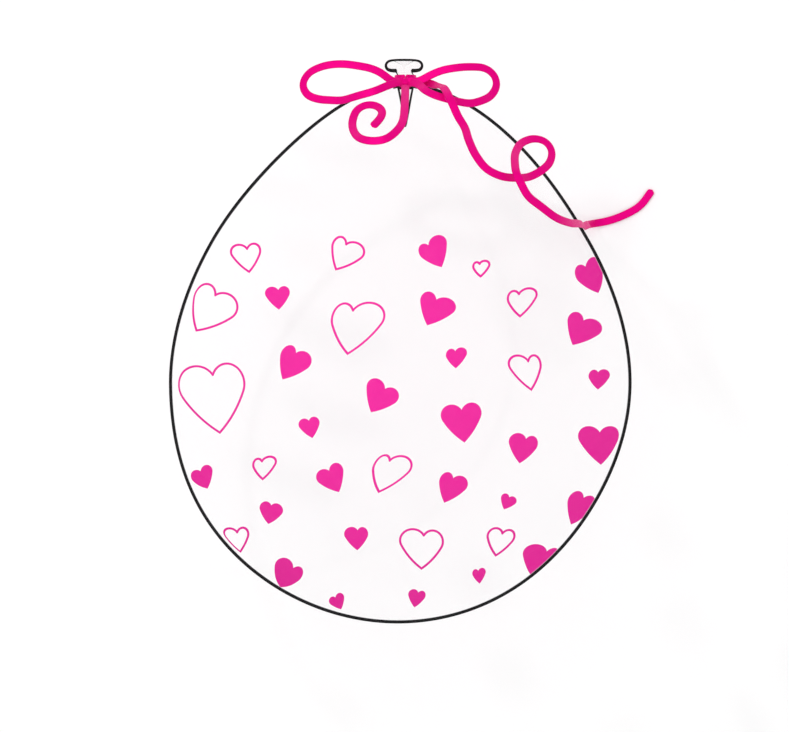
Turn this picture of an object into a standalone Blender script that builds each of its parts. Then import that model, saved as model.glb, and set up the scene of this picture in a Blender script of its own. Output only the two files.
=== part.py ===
"""Clear stuffing balloon with a ribbon bow round its neck, lying on its side.

Units are metres and +Z is up. The origin is the centre of the small flat spot that the
balloon rests on. +Y runs along the balloon to its neck, and +X is to the right when it is
seen from above with the neck at the top.
"""

import math

import bmesh
import bpy
import numpy as np
from mathutils import Vector

# Balloon: the body is widest over the origin, and its two ends differ in length
BODY_RADIUS = 0.2285
SHOULDER_LENGTH = 0.295
CROWN_LENGTH = 0.2385
SHOULDER_TAPER = 0.265
TAPER_POWER = 1.8
REST_DEPTH = 0.0035

# How far the balloon leans off a straight axis, at the neck and near the round end. The start
# and the run of the lean are shares of SHOULDER_LENGTH, and CROWN_SWAY_TURN sets how soon the
# lean at the round end peaks.
NECK_SWAY = 0.0051
NECK_SWAY_START = 0.475
NECK_SWAY_RUN = 0.42
CROWN_SWAY = -0.0050
CROWN_SWAY_TURN = 1.32

# Neck, rolled lip and the dimple of the tied mouth
NECK_RADIUS = 0.0084
NECK_LENGTH = 0.0125
NECK_FILLET = 0.0010
LIP_RADIUS = 0.0192
LIP_THICKNESS = 0.0120
MOUTH_RADIUS = 0.0085
MOUTH_DEPTH = 0.0050

# Folds that the tie gathers into the neck and shoulder
PLEAT_COUNT = 10
PLEAT_DEPTH = 0.0009
PLEAT_REACH = 0.060
CREASE_HALF_WIDTH = 0.0076
CREASE_DEPTH = 0.0022
CREASE_LENGTH = 0.0415
CREASE_FADE_RADIUS = 0.0252

# Facets of the balloon: its segments stand closer together along the side that faces up
SEGMENTS = 60
SEGMENT_CROWDING = 0.5
CROWN_RINGS = 14
SHOULDER_RINGS = 22
LIP_STEPS = 6
ARC_POINTS = 4
PROFILE_SAMPLES = 400

# Ribbon
RIBBON_WIDTH = 0.0080
RIBBON_THICKNESS = 0.0032
WRAP_THICKNESS = 0.0020
WRAP_WIDTH = 0.0070
KNOT_HALF_LENGTH = 0.0100
KNOT_HALF_WIDTH = 0.0046
KNOT_HEIGHT = 0.0150
CLEARANCE = 0.0003
TUBE_POINT_SPACING = 0.0125
LOOP_POINT_SPACING = 0.0075
ROUTE_SAMPLES = 40
TUBE_BEVEL_RESOLUTION = 2
OVAL_SIDES = 10
WRAP_SEGMENTS = 32
KNOT_SEGMENTS = 20
KNOT_RINGS = 12

# Looks
PINK = (0.84, 0.0, 0.24)
RIBBON_ROUGHNESS = 0.45
CLEAR = (0.86, 0.87, 0.88)
CLEAR_ALPHA = 0.35
CLEAR_ROUGHNESS = 0.15
SHARP_DEGREES = 40

AXIS_HEIGHT = BODY_RADIUS - REST_DEPTH
WRAP_Y = SHOULDER_LENGTH + NECK_FILLET + CLEARANCE + WRAP_WIDTH / 2

# Routes: x, y and height from the tie, the point on top of the neck where the knot stands.
# Each is a list chosen by hand, and a smooth curve runs through it.
LOOP_LEFT = [
    (-0.0009, -0.0006, 0.0103),
    (-0.0110, 0.0010, 0.0130),
    (-0.0230, 0.0060, 0.0155),
    (-0.0410, 0.0100, 0.0165),
    (-0.0660, 0.0130, 0.0125),
    (-0.0835, 0.0105, 0.0065),
    (-0.0963, 0.0035, 0.0020),
    (-0.1011, -0.0064, 0.0005),
    (-0.0974, -0.0154, 0.0025),
    (-0.0860, -0.0210, 0.0085),
    (-0.0685, -0.0215, 0.0190),
    (-0.0485, -0.0190, 0.0315),
    (-0.0320, -0.0140, 0.0370),
    (-0.0220, -0.0095, 0.0335),
    (-0.0130, -0.0045, 0.0230),
    (-0.0015, -0.0010, 0.0076),
]
LOOP_RIGHT = [
    (0.0009, -0.0005, 0.0100),
    (0.0100, 0.0010, 0.0140),
    (0.0270, 0.0045, 0.0175),
    (0.0470, 0.0085, 0.0185),
    (0.0645, 0.0100, 0.0155),
    (0.0800, 0.0080, 0.0115),
    (0.0880, 0.0005, 0.0095),
    (0.0895, -0.0070, 0.0105),
    (0.0845, -0.0175, 0.0165),
    (0.0745, -0.0235, 0.0270),
    (0.0605, -0.0250, 0.0360),
    (0.0425, -0.0234, 0.0462),
    (0.0282, -0.0186, 0.0468),
    (0.0202, -0.0132, 0.0420),
    (0.0125, -0.0050, 0.0250),
    (0.0015, -0.0011, 0.0073),
]
TAIL_CURLED = [
    (-0.0001, -0.0016, 0.0181),
    (-0.0002, -0.0050, 0.0251),
    (-0.0003, -0.0097, 0.0343),
    (-0.0005, -0.0190, 0.0520),
    (-0.0010, -0.0295, 0.0695),
    (-0.0015, -0.0375, 0.0805),
    (-0.0030, -0.0460, 0.0915),
    (-0.0060, -0.0525, 0.0990),
    (-0.0105, -0.0580, 0.1045),
    (-0.0205, -0.0650, 0.1110),
    (-0.0305, -0.0665, 0.1105),
    (-0.0435, -0.0635, 0.1035),
    (-0.0515, -0.0540, 0.0900),
    (-0.0525, -0.0430, 0.0765),
    (-0.0475, -0.0330, 0.0685),
    (-0.0385, -0.0285, 0.0665),
    (-0.0285, -0.0295, 0.0715),
    (-0.0235, -0.0345, 0.0790),
    (-0.0255, -0.0420, 0.0865),
    (-0.0330, -0.0520, 0.0945),
]
TAIL_LONG = [
    (0.0109, -0.0010, 0.0061),
    (0.0214, -0.0028, 0.0093),
    (0.0329, -0.0083, 0.0312),
    (0.0399, -0.0176, 0.0584),
    (0.0447, -0.0280, 0.0690),
    (0.0500, -0.0375, 0.0735),
    (0.0560, -0.0480, 0.0780),
    (0.0620, -0.0660, 0.0965),
    (0.0690, -0.0820, 0.1090),
    (0.0790, -0.0945, 0.1150),
    (0.0915, -0.1005, 0.1115),
    (0.1070, -0.1015, 0.0990),
    (0.1225, -0.0985, 0.0800),
    (0.1335, -0.0930, 0.0680),
    (0.1411, -0.0834, 0.0565),
    (0.1418, -0.0731, 0.0500),
    (0.1363, -0.0656, 0.0485),
    (0.1262, -0.0628, 0.0515),
    (0.1149, -0.0661, 0.0605),
    (0.1070, -0.0760, 0.0795),
    (0.1050, -0.0885, 0.0990),
    (0.1072, -0.1022, 0.1140),
    (0.1150, -0.1155, 0.1130),
    (0.1295, -0.1280, 0.1030),
    (0.1440, -0.1390, 0.0935),
    (0.1605, -0.1440, 0.0710),
    (0.1701, -0.1436, 0.0448),
    (0.1767, -0.1436, 0.0163),
    (0.1804, -0.1432, -0.0187),
    (0.1834, -0.1423, -0.0587),
    (0.1857, -0.1410, -0.1037),
    (0.1874, -0.1396, -0.1487),
    (0.1894, -0.1380, -0.1887),
    (0.1934, -0.1363, -0.2137),
    (0.2009, -0.1346, -0.2252),
    (0.2110, -0.1326, -0.2287),
    (0.2297, -0.1260, -0.2293),
    (0.2457, -0.1166, -0.2293),
    (0.2590, -0.0996, -0.2293),
]


def smooth_step(value):
    """Rise from 0 to 1 with level ends, 3t^2 - 2t^3, for value clipped to 0..1."""
    t = np.clip(value, 0.0, 1.0)
    return t * t * (3.0 - 2.0 * t)


def axis_sway(y):
    """Sideways place of the axis, which leans one way at the neck and the other near the crown."""
    to_neck = smooth_step((y / SHOULDER_LENGTH - NECK_SWAY_START) / NECK_SWAY_RUN)
    down = np.clip(-y / CROWN_LENGTH, 0.0, 1.0)
    to_crown = np.sin(math.pi * down / CROWN_SWAY_TURN) ** 2
    return NECK_SWAY * to_neck + CROWN_SWAY * to_crown


def tie_point():
    """Where the knot stands: on the neck's top, clear of it, at the middle of the wrap."""
    height = AXIS_HEIGHT + NECK_RADIUS + CLEARANCE
    return np.array([float(axis_sway(WRAP_Y)), WRAP_Y, height])


def body_profile():
    """Radius and y from the round end to the neck.

    The round end is a half ellipse. The shoulder is another whose radius also shrinks by a
    power of y.
    """
    crown = np.linspace(0.0, math.pi / 2, CROWN_RINGS + 1)
    crown_r = BODY_RADIUS * np.sin(crown)
    crown_y = -CROWN_LENGTH * np.cos(crown)
    turn = np.linspace(0.0, math.pi / 2, PROFILE_SAMPLES)
    rise = np.sin(turn)
    radius = BODY_RADIUS * np.cos(turn) * (1.0 - SHOULDER_TAPER * rise**TAPER_POWER)
    last = np.interp(-(NECK_RADIUS + NECK_FILLET), -radius, turn)
    turn = np.linspace(0.0, last, SHOULDER_RINGS + 1)[1:]
    rise = np.sin(turn)
    shoulder_r = BODY_RADIUS * np.cos(turn) * (1.0 - SHOULDER_TAPER * rise**TAPER_POWER)
    shoulder_y = SHOULDER_LENGTH * rise
    return np.concatenate([crown_r, shoulder_r]), np.concatenate([crown_y, shoulder_y])


def neck_profile(start_y):
    """Radius and y of the neck's root, the neck, the lip as a stadium and the dimple of the mouth."""
    neck_end = SHOULDER_LENGTH + NECK_LENGTH
    half = LIP_THICKNESS / 2
    lip_middle = neck_end + half
    root = np.linspace(0.0, math.pi / 2, ARC_POINTS)[1:]
    root_r = NECK_RADIUS + NECK_FILLET * (1.0 - np.sin(root))
    root_y = start_y + NECK_FILLET * (1.0 - np.cos(root))
    edge = np.linspace(-math.pi / 2, math.pi / 2, LIP_STEPS + 1)
    edge_r = LIP_RADIUS - half + half * np.cos(edge)
    edge_y = lip_middle + half * np.sin(edge)
    dimple = np.linspace(0.0, math.pi / 2, ARC_POINTS)
    dimple_r = MOUTH_RADIUS * np.cos(dimple)
    dimple_y = lip_middle + half - MOUTH_DEPTH * np.sin(dimple)
    radius = np.concatenate([root_r, [NECK_RADIUS, NECK_RADIUS], edge_r, dimple_r])
    y = np.concatenate([root_y, [WRAP_Y, neck_end], edge_y, dimple_y])
    return radius, y


def balloon_profile():
    """The whole profile, from the pole of the round end to the pole of the mouth."""
    body_r, body_y = body_profile()
    neck_r, neck_y = neck_profile(body_y[-1])
    radius = np.concatenate([body_r, neck_r])
    radius[0] = 0.0
    radius[-1] = 0.0
    return radius, np.concatenate([body_y, neck_y])


def gather_depth(radius, y, angle):
    """How far the surface is drawn in.

    Cosine pleats fade down the shoulder, and one pointed crease runs down its top side.
    """
    from_tie = np.hypot(radius - NECK_RADIUS, y - SHOULDER_LENGTH)
    on_neck = smooth_step((SHOULDER_LENGTH + NECK_LENGTH - y) / NECK_LENGTH)
    pleats = PLEAT_DEPTH * (1.0 - smooth_step(from_tie / PLEAT_REACH)) * on_neck
    pleats = pleats * (1.0 - np.cos(PLEAT_COUNT * angle)) / 2
    along = np.clip((SHOULDER_LENGTH - y) / CREASE_LENGTH, 0.0, 1.0)
    half_width = CREASE_HALF_WIDTH * (1.0 - along) + 1e-6
    across = np.clip(radius * np.abs(np.sin(angle)) / half_width, 0.0, 1.0)
    on_top = (np.cos(angle) > 0.0) & (y < SHOULDER_LENGTH)
    crease = CREASE_DEPTH * np.sqrt(1.0 - along) * (1.0 - across**2) * on_top
    return pleats + crease * smooth_step(radius / CREASE_FADE_RADIUS)


def crowded_angles(count):
    """Angles round the axis from straight up, crowded to the top by angle - share * sin(angle)."""
    even = np.arange(count) * (2 * math.pi / count)
    return even - SEGMENT_CROWDING * np.sin(even)


def balloon_points():
    """Rings of points: the profile turned about its axis and drawn in along its normals."""
    radius, y = balloon_profile()
    along_r = np.gradient(radius)
    along_y = np.gradient(y)
    length = np.hypot(along_r, along_y)
    normal_r = along_y / length
    normal_y = -along_r / length
    angle = crowded_angles(SEGMENTS)[None, :]
    depth = gather_depth(radius[:, None], y[:, None], angle)
    ring_r = radius[:, None] - depth * normal_r[:, None]
    ring_y = y[:, None] - depth * normal_y[:, None]
    x = axis_sway(y)[:, None] + ring_r * np.sin(angle)
    z = AXIS_HEIGHT + ring_r * np.cos(angle)
    return np.stack([x, ring_y, z], axis=-1)


def grid_mesh(name, points):
    """A closed mesh from rings of points whose first and last rings have shrunk to their poles."""
    rings, count = points.shape[:2]
    mesh = bmesh.new()
    first = mesh.verts.new(points[0, 0])
    rows = [[mesh.verts.new(p) for p in ring] for ring in points[1:-1]]
    last = mesh.verts.new(points[-1, 0])
    for i in range(count):
        j = (i + 1) % count
        mesh.faces.new((first, rows[0][i], rows[0][j]))
        mesh.faces.new((last, rows[-1][j], rows[-1][i]))
        for low, high in zip(rows[:-1], rows[1:]):
            mesh.faces.new((low[i], high[i], high[j], low[j]))
    bmesh.ops.recalc_face_normals(mesh, faces=mesh.faces)
    return finish_mesh(name, mesh)


def finish_mesh(name, mesh):
    data = bpy.data.meshes.new(name)
    mesh.to_mesh(data)
    mesh.free()
    obj = bpy.data.objects.new(name, data)
    bpy.context.scene.collection.objects.link(obj)
    return obj


def shade_round(obj, sharp_degrees):
    obj.data.shade_smooth()
    obj.data.set_sharp_from_angle(angle=math.radians(sharp_degrees))


def make_balloon():
    """The balloon, cut off level at the floor so that it lies still."""
    balloon = grid_mesh("balloon", balloon_points())
    mesh = bmesh.new()
    mesh.from_mesh(balloon.data)
    geometry = mesh.verts[:] + mesh.edges[:] + mesh.faces[:]
    cut = bmesh.ops.bisect_plane(
        mesh, geom=geometry, plane_co=(0, 0, 0), plane_no=(0, 0, -1), clear_outer=True
    )
    rim = [item for item in cut["geom_cut"] if isinstance(item, bmesh.types.BMEdge)]
    bmesh.ops.contextual_create(mesh, geom=rim)
    bmesh.ops.recalc_face_normals(mesh, faces=mesh.faces)
    mesh.to_mesh(balloon.data)
    mesh.free()
    shade_round(balloon, SHARP_DEGREES)
    return balloon


def smooth_route(route, spacing):
    """Points at even spacing on the cubic curve through a route, as rows of x, y and z over the floor.

    Between two knots the curve is a Hermite cubic, and its slope at a knot is the mean of the
    two chords there, each weighted by the length of the other.
    """
    knots = np.array(route, float) + tie_point()
    chord = np.diff(knots, axis=0)
    gap = np.linalg.norm(chord, axis=1, keepdims=True)
    slope = chord / gap
    inner = (slope[:-1] * gap[1:] + slope[1:] * gap[:-1]) / (gap[:-1] + gap[1:])
    slope = np.vstack([slope[:1], inner, slope[-1:]])
    t = np.linspace(0.0, 1.0, ROUTE_SAMPLES, endpoint=False)[:, None, None]
    turn = t * t * (3 - 2 * t)
    leave = t * (1 - t) ** 2
    arrive = t * t * (t - 1)
    dense = knots[:-1] + turn * chord + gap * (leave * slope[:-1] + arrive * slope[1:])
    dense = np.vstack([dense.swapaxes(0, 1).reshape(-1, 3), knots[-1:]])
    dense[:, 2] = np.maximum(dense[:, 2], RIBBON_WIDTH / 2 + CLEARANCE)
    run = np.concatenate([[0.0], np.cumsum(np.linalg.norm(np.diff(dense, axis=0), axis=1))])
    steps = max(2, round(run[-1] / spacing))
    at = np.linspace(0.0, run[-1], steps + 1)
    return np.column_stack([np.interp(at, run, dense[:, k]) for k in range(3)])


def keep_off_skin(points, gap):
    """Points moved out square to the balloon's body wherever they are nearer to it than gap.

    Each point is compared with the body's profile in its own plane through the axis: the nearest
    place on the profile plus gap along the profile's normal is the least it may stand off.
    """
    radius, y = body_profile()
    skin_y = np.linspace(y[0], y[-1], PROFILE_SAMPLES)
    skin_r = np.interp(skin_y, y, radius)
    skin = np.column_stack([skin_r, skin_y])
    normal = np.column_stack([np.gradient(skin_y), -np.gradient(skin_r)])
    normal /= np.linalg.norm(normal, axis=1, keepdims=True)
    axis_x = axis_sway(points[:, 1])
    spoke = np.column_stack([points[:, 0] - axis_x, points[:, 2] - AXIS_HEIGHT])
    reach = np.linalg.norm(spoke, axis=1)
    here = np.column_stack([reach, points[:, 1]])
    away = np.linalg.norm(here[:, None, :] - skin[None, :, :], axis=2)
    nearest = np.argmin(away, axis=1)
    stand_off = np.sum((here - skin[nearest]) * normal[nearest], axis=1)
    too_near = stand_off < gap
    moved = np.where(too_near[:, None], skin[nearest] + gap * normal[nearest], here)
    spoke *= (moved[:, 0] / reach)[:, None]
    return np.column_stack([axis_x + spoke[:, 0], moved[:, 1], AXIS_HEIGHT + spoke[:, 1]])


def make_tube(name, route):
    """A tail of the ribbon as a plain round tube along its route."""
    curve = bpy.data.curves.new(name, "CURVE")
    curve.dimensions = "3D"
    curve.bevel_depth = RIBBON_WIDTH / 2
    curve.bevel_resolution = TUBE_BEVEL_RESOLUTION
    curve.use_fill_caps = True
    points = smooth_route(route, TUBE_POINT_SPACING)
    spline = curve.splines.new("POLY")
    spline.points.add(len(points) - 1)
    spline.points.foreach_set("co", np.column_stack([points, np.ones(len(points))]).ravel())
    tube = bpy.data.objects.new(name, curve)
    bpy.context.scene.collection.objects.link(tube)
    return tube


def make_loop(name, route):
    """A loop of the bow: an oval section, level across, along its route, closed at both ends."""
    points = smooth_route(route, LOOP_POINT_SPACING)
    points = keep_off_skin(points, RIBBON_WIDTH / 2 + CLEARANCE)
    tangent = np.gradient(points, axis=0)
    tangent /= np.linalg.norm(tangent, axis=1, keepdims=True)
    across = np.cross(tangent, [0.0, 0.0, 1.0])
    across /= np.linalg.norm(across, axis=1, keepdims=True)
    face = np.cross(across, tangent)
    turn = np.arange(OVAL_SIDES) * (2 * math.pi / OVAL_SIDES)
    wide = RIBBON_WIDTH / 2 * np.cos(turn)[None, :, None] * across[:, None, :]
    thick = RIBBON_THICKNESS / 2 * np.sin(turn)[None, :, None] * face[:, None, :]
    rings = points[:, None, :] + wide + thick
    caps = np.repeat(points[[0, -1], None, :], OVAL_SIDES, axis=1)
    return grid_mesh(name, np.concatenate([caps[:1], rings, caps[1:]]))


def make_wrap(name):
    """The ribbon's turn round the neck: a flat band, clear of the latex, whose middle is at WRAP_Y."""
    inner = NECK_RADIUS + CLEARANCE
    outer = inner + WRAP_THICKNESS
    half = WRAP_WIDTH / 2
    section = [(inner, -half), (outer, -half), (outer, half), (inner, half)]
    mesh = bmesh.new()
    rings = []
    centre_x = tie_point()[0]
    for step in range(WRAP_SEGMENTS):
        angle = step * 2 * math.pi / WRAP_SEGMENTS
        rings.append(
            [
                mesh.verts.new(
                    (
                        centre_x + r * math.sin(angle),
                        WRAP_Y + y,
                        AXIS_HEIGHT + r * math.cos(angle),
                    )
                )
                for r, y in section
            ]
        )
    for low, high in zip(rings, rings[1:] + rings[:1]):
        for k in range(4):
            mesh.faces.new((low[k], high[k], high[(k + 1) % 4], low[(k + 1) % 4]))
    bmesh.ops.recalc_face_normals(mesh, faces=mesh.faces)
    return finish_mesh(name, mesh)


def make_knot():
    """The knot, a rounded lump that stands on the turn round the neck."""
    mesh = bmesh.new()
    bmesh.ops.create_uvsphere(
        mesh, u_segments=KNOT_SEGMENTS, v_segments=KNOT_RINGS, radius=1.0
    )
    size = Vector((KNOT_HALF_LENGTH, KNOT_HALF_WIDTH, KNOT_HEIGHT / 2))
    bmesh.ops.scale(mesh, vec=size, verts=mesh.verts)
    place = Vector(tie_point()) + Vector((0.0, 0.0, KNOT_HEIGHT / 2))
    bmesh.ops.translate(mesh, vec=place, verts=mesh.verts)
    return finish_mesh("ribbon_bow", mesh)


def make_bow():
    """The tied bow: the knot joined to its turn round the neck and to its two loops."""
    bow = make_knot()
    parts = [
        make_wrap("bow_wrap"),
        make_loop("bow_loop_left", LOOP_LEFT),
        make_loop("bow_loop_right", LOOP_RIGHT),
    ]
    for part in parts:
        part.hide_render = True
        part.display_type = "WIRE"
        part.parent = bow
        join = bow.modifiers.new(part.name, "BOOLEAN")
        join.operation = "UNION"
        join.solver = "EXACT"
        join.use_self = True
        join.object = part
    shade_round(bow, SHARP_DEGREES)
    return bow


def give_material(obj, name, colour, roughness, alpha=1.0):
    material = bpy.data.materials.new(name)
    material.use_nodes = True
    shader = material.node_tree.nodes["Principled BSDF"]
    shader.inputs["Base Color"].default_value = (*colour, 1.0)
    shader.inputs["Roughness"].default_value = roughness
    shader.inputs["Metallic"].default_value = 0.0
    shader.inputs["Alpha"].default_value = alpha
    obj.data.materials.append(material)


def main():
    for obj in list(bpy.data.objects):
        bpy.data.objects.remove(obj)
    give_material(make_balloon(), "clear latex", CLEAR, CLEAR_ROUGHNESS, alpha=CLEAR_ALPHA)
    curled = make_tube("ribbon_tail_curled", TAIL_CURLED)
    long_tail = make_tube("ribbon_tail_long", TAIL_LONG)
    for ribbon in (make_bow(), curled, long_tail):
        give_material(ribbon, "pink satin", PINK, RIBBON_ROUGHNESS)


if __name__ == "__main__":
    main()
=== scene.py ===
"""Clear balloon printed with pink hearts and tied with a pink satin ribbon, lying on its side.

Metres, +Z up. The balloon rests on the origin, its neck points to +Y, and the camera looks down.
"""

import math

import bpy
import numpy as np
from bpy.props import FloatProperty, FloatVectorProperty, IntProperty, PointerProperty
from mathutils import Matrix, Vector


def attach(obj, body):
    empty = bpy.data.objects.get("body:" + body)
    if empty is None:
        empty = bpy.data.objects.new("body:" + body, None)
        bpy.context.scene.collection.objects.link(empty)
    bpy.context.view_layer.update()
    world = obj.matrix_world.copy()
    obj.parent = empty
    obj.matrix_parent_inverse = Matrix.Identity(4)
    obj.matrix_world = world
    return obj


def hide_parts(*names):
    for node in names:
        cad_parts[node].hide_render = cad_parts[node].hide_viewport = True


bl_info = {
    "name": "Printed Balloon with Ribbon Bow",
    "version": (1, 0, 0),
    "blender": (4, 5, 0),
    "location": "View3D > Sidebar > Balloon",
    "description": "Builds a clear heart-printed balloon, its ribbon bow and curling tails",
    "category": "Object",
}

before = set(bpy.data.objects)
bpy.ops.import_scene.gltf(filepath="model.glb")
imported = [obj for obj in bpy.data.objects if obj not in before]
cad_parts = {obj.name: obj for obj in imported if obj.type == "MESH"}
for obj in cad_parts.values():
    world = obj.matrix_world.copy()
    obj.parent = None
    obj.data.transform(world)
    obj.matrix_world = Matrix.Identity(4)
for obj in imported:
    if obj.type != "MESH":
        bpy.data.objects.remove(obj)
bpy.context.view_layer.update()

# Routes of the ribbon from the tie: x, y and height in metres, as the CAD model has them
LOOP_LEFT = [
    (-0.0009, -0.0006, 0.0103), (-0.0110, 0.0010, 0.0130), (-0.0230, 0.0060, 0.0155),
    (-0.0410, 0.0100, 0.0165), (-0.0660, 0.0130, 0.0125), (-0.0835, 0.0105, 0.0065),
    (-0.0963, 0.0035, 0.0020), (-0.1011, -0.0064, 0.0005), (-0.0974, -0.0154, 0.0025),
    (-0.0860, -0.0210, 0.0085), (-0.0685, -0.0215, 0.0190), (-0.0485, -0.0190, 0.0315),
    (-0.0320, -0.0140, 0.0370), (-0.0220, -0.0095, 0.0335), (-0.0130, -0.0045, 0.0230),
    (-0.0015, -0.0010, 0.0076),
]
LOOP_RIGHT = [
    (0.0009, -0.0005, 0.0100), (0.0100, 0.0010, 0.0140), (0.0270, 0.0045, 0.0175),
    (0.0470, 0.0085, 0.0185), (0.0645, 0.0100, 0.0155), (0.0800, 0.0080, 0.0115),
    (0.0880, 0.0005, 0.0095), (0.0895, -0.0070, 0.0105), (0.0845, -0.0175, 0.0165),
    (0.0745, -0.0235, 0.0270), (0.0605, -0.0250, 0.0360), (0.0425, -0.0234, 0.0462),
    (0.0282, -0.0186, 0.0468), (0.0202, -0.0132, 0.0420), (0.0125, -0.0050, 0.0250),
    (0.0015, -0.0011, 0.0073),
]
TAIL_CURLED = [
    (-0.0001, -0.0016, 0.0181), (-0.0002, -0.0050, 0.0251), (-0.0003, -0.0097, 0.0343),
    (-0.0005, -0.0190, 0.0520), (-0.0010, -0.0295, 0.0695), (-0.0015, -0.0375, 0.0805),
    (-0.0030, -0.0460, 0.0915), (-0.0060, -0.0525, 0.0990), (-0.0105, -0.0580, 0.1045),
    (-0.0205, -0.0650, 0.1110), (-0.0305, -0.0665, 0.1105), (-0.0435, -0.0635, 0.1035),
    (-0.0515, -0.0540, 0.0900), (-0.0525, -0.0430, 0.0765), (-0.0475, -0.0330, 0.0685),
    (-0.0385, -0.0285, 0.0665), (-0.0285, -0.0295, 0.0715), (-0.0235, -0.0345, 0.0790),
    (-0.0255, -0.0420, 0.0865), (-0.0330, -0.0520, 0.0945),
]
TAIL_LONG = [
    (0.0109, -0.0010, 0.0061), (0.0214, -0.0028, 0.0093), (0.0329, -0.0083, 0.0312),
    (0.0399, -0.0176, 0.0584), (0.0447, -0.0280, 0.0690), (0.0500, -0.0375, 0.0735),
    (0.0560, -0.0480, 0.0780), (0.0620, -0.0660, 0.0965), (0.0690, -0.0820, 0.1090),
    (0.0790, -0.0945, 0.1150), (0.0915, -0.1005, 0.1115), (0.1070, -0.1015, 0.0990),
    (0.1225, -0.0985, 0.0800), (0.1335, -0.0930, 0.0680), (0.1411, -0.0834, 0.0565),
    (0.1418, -0.0731, 0.0500), (0.1363, -0.0656, 0.0485), (0.1262, -0.0628, 0.0515),
    (0.1149, -0.0661, 0.0605), (0.1070, -0.0760, 0.0795), (0.1050, -0.0885, 0.0990),
    (0.1072, -0.1022, 0.1140), (0.1150, -0.1155, 0.1130), (0.1295, -0.1280, 0.1030),
    (0.1440, -0.1390, 0.0935), (0.1605, -0.1440, 0.0710), (0.1701, -0.1436, 0.0448),
    (0.1767, -0.1436, 0.0163), (0.1804, -0.1432, -0.0187), (0.1834, -0.1423, -0.0587),
    (0.1857, -0.1410, -0.1037), (0.1874, -0.1396, -0.1487), (0.1894, -0.1380, -0.1887),
    (0.1934, -0.1363, -0.2137), (0.2009, -0.1346, -0.2252), (0.2110, -0.1326, -0.2287),
    (0.2297, -0.1260, -0.2293), (0.2457, -0.1166, -0.2293), (0.2590, -0.0996, -0.2293),
]

# Hearts in the print, in millimetres and degrees. Each row is the place of the tip, seen from
# above at the height of the balloon's axis, the width, the height, how far the width and the
# axis are turned to the left, how much wider the left half is, and how far both lobes hang
OUTLINED_HEARTS = [
    (-149.5, 109, 28.5, 28.5, 5, 5, 0.12, -0.1),
    (-63.5, 111.5, 30.5, 33.5, -22, -22, -0.23, -0.05),
    (-201.5, 51, 44.5, 49.5, -27, -28, -0.15, 0.0),
    (-52, 28, 49, 54, 2, -7, -0.23, 0.02),
    (-178.5, -50, 65, 72, 5, 7, 0.08, 0.0),
    (79.5, 104.5, 15.5, 15.5, 10, 5, -0.2, 0.0),
    (118.5, 65, 27.5, 27.5, 10, 3, -0.22, -0.03),
    (129.5, -7.5, 29.5, 35.5, 2, 6, 0.24, -0.08),
    (-136, -96, 21.5, 22, 10, 3, -0.23, -0.03),
    (-21, -108.5, 34.5, 41, -2, -19, -0.26, 0.07),
    (21, -184.5, 42, 41, -4, -4, 0.09, 0.02),
    (94.5, -171.5, 26, 28.5, -8, -17, 0.05, -0.05),
    (-159.5, -169, 24.5, 25.5, 4, 5, 0.14, -0.12),
]
SOLID_HEARTS = [
    (-120, 71.5, 24.5, 24.5, 3, 2, 0.08, -0.03),
    (41, 113.5, 29.5, 32, 33, 31, -0.18, 0.0),
    (26.5, 56, 35.5, 34, -20, -20, -0.16, -0.08),
    (55, 13.5, 21, 21.5, 8, 2, -0.1, 0.03),
    (196, 88, 33, 36.5, 31, 26, -0.23, 0.03),
    (170.5, 36.5, 35, 33.5, -24, -24, -0.15, -0.08),
    (195.5, -7.5, 21, 21.5, 3, -1, -0.1, 0.05),
    (63.5, -60, 40.5, 41, 6, 5, 0.04, -0.05),
    (118, -80.5, 28.5, 31.5, -12, -15, 0.12, 0.02),
    (198.5, -82, 43, 40.5, 0, 2, 0.01, -0.05),
    (-116.5, 2.5, 31, 37, -25, -27, -0.15, 0.0),
    (-29, -30, 34.5, 34, -31, -31, 0.04, -0.06),
    (-87, -55.5, 21, 22, 11, 11, 0.04, 0.0),
    (-190.5, -105.5, 25, 23.5, 26, 22, 0.08, -0.03),
    (-60.5, -109, 28.5, 29.5, 27, 25, 0.05, -0.05),
    (-130.5, -140.5, 23.5, 23.5, -11, -9, -0.05, 0.06),
    (-42.5, -166.5, 23.5, 25, -1, -1, 0.12, 0.05),
    (-121, -206.5, 28.5, 34, -33, -34, 0.19, -0.02),
    (-59, -226.5, 16.5, 18, 28, 21, -0.03, 0.02),
    (14, -223, 17, 19, -11, -15, 0.1, 0.0),
    (43.5, -119.5, 28, 32.5, -16, -20, -0.13, 0.0),
    (102.5, -126, 16, 16.5, -23, -24, -0.05, 0.0),
    (78.5, -199.5, 13.5, 16, 11, 6, -0.08, -0.02),
    (169.5, -141.5, 32, 37, -21, -24, -0.17, 0.07),
    (131.5, -194, 36.5, 37, -16, -28, 0.16, 0.02),
]

# Right half of a heart one unit wide with its tip at 0, 0: circles of its lobe and its side,
# and the height of the notch
LOBE_X = 0.2339
LOBE_Y = 0.6705
LOBE_RADIUS = 0.2661
SIDE_X = -1.0242
SIDE_Y = 1.3542
SIDE_RADIUS = 1.698
NOTCH_Y = 0.7976

# Cosine of the tilt from which the print is unrolled, and at first the share of the skin's
# length that it gains. Past upright the share rises, half of the way by this turn in radians
UNROLLED = 0.42
UNROLL_TURN = 0.4

# Where the axis leans, as shares of the shoulder, the neck and the round end
NECK_LEAN_START = 0.475
NECK_LEAN_REACH = 0.42
LIP_LEAN_START = 0.72
LIP_LEAN_REACH = 0.28
CROWN_LEAN_REACH = 1.32

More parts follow.
